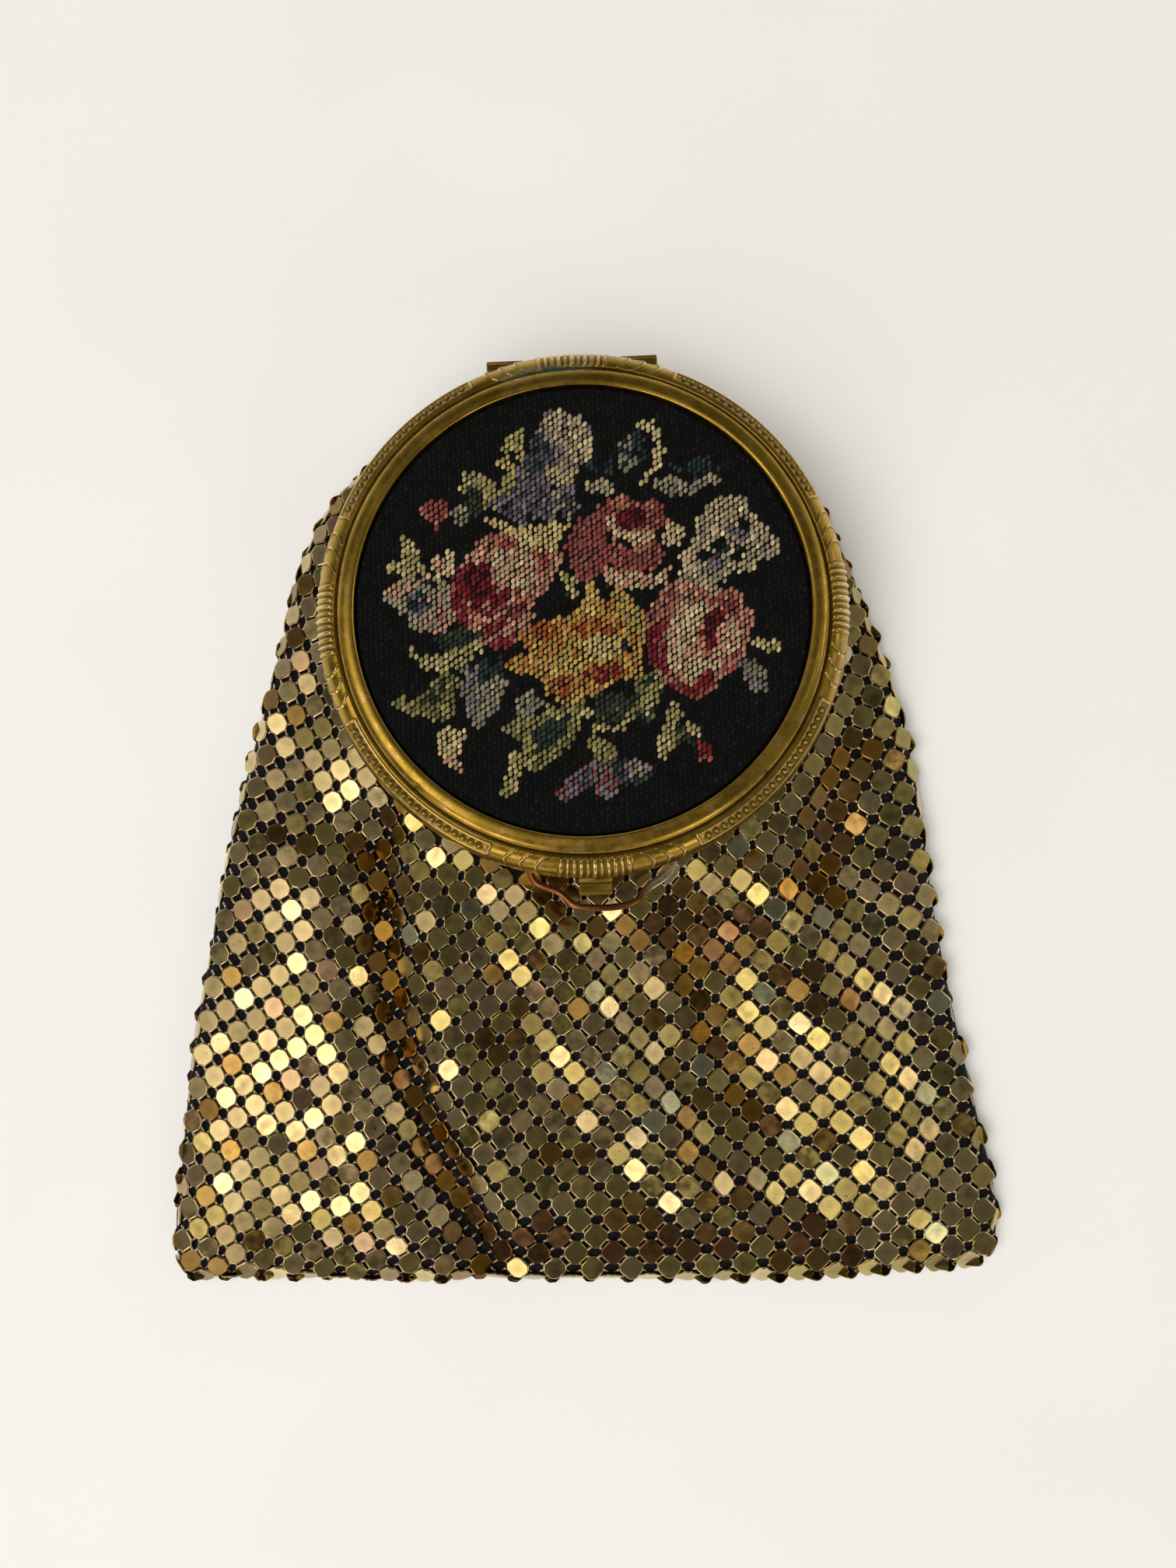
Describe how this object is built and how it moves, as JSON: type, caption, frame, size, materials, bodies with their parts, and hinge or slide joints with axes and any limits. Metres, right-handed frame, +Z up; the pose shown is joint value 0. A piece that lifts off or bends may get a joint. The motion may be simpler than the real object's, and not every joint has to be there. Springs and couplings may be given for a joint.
{
  "type": "compact purse",
  "caption": "Round brass vanity compact with a needlework lid, hinged over the ring of a soft metal-mesh pouch that lies on its back.",
  "frame": {"origin": "on the surface that the purse lies on, at the middle of its bounding box", "axes": "+Z up out of the lid's face, +Y from the pouch's bottom edge towards the hinges, +X to the right seen from above"},
  "size_m": [0.1232, 0.137, 0.0219],
  "materials": {
    "lid_brass": "aged, polished crests with dull grooves",
    "needlework": "tent stitch on near-black",
    "mirror_glass": "plain",
    "case_brass": "satin, aged",
    "loop_wire": "dark copper-brown, worn",
    "mesh_plates": "small plates, champagne gold, worn",
    "mesh_lining": "dark cloth between the plates"
  },
  "bodies": {
    "pouch": {"mesh_pouch": "mesh_plates", "pouch_ring": "case_brass", "case_hinge_pin": "case_brass"},
    "case": {"powder_case": "case_brass", "lift_loop": "loop_wire", "lid_hinge_pin": "case_brass"},
    "lid": {"compact_lid": "lid_brass", "needlework_panel": "needlework", "lid_mirror": "mirror_glass"}
  },
  "joints": [
    {"name": "case_lift", "type": "hinge", "parent": "pouch", "child": "case", "pos_m": [0.00345, 0.06644, 0.011], "axis": [-1, 0, 0], "range_deg": [0, 75]},
    {"name": "lid_open", "type": "hinge", "parent": "case", "child": "lid", "pos_m": [0.00345, 0.06644, 0.0149], "axis": [-1, 0, 0], "range_deg": [0, 100]}
  ]
}
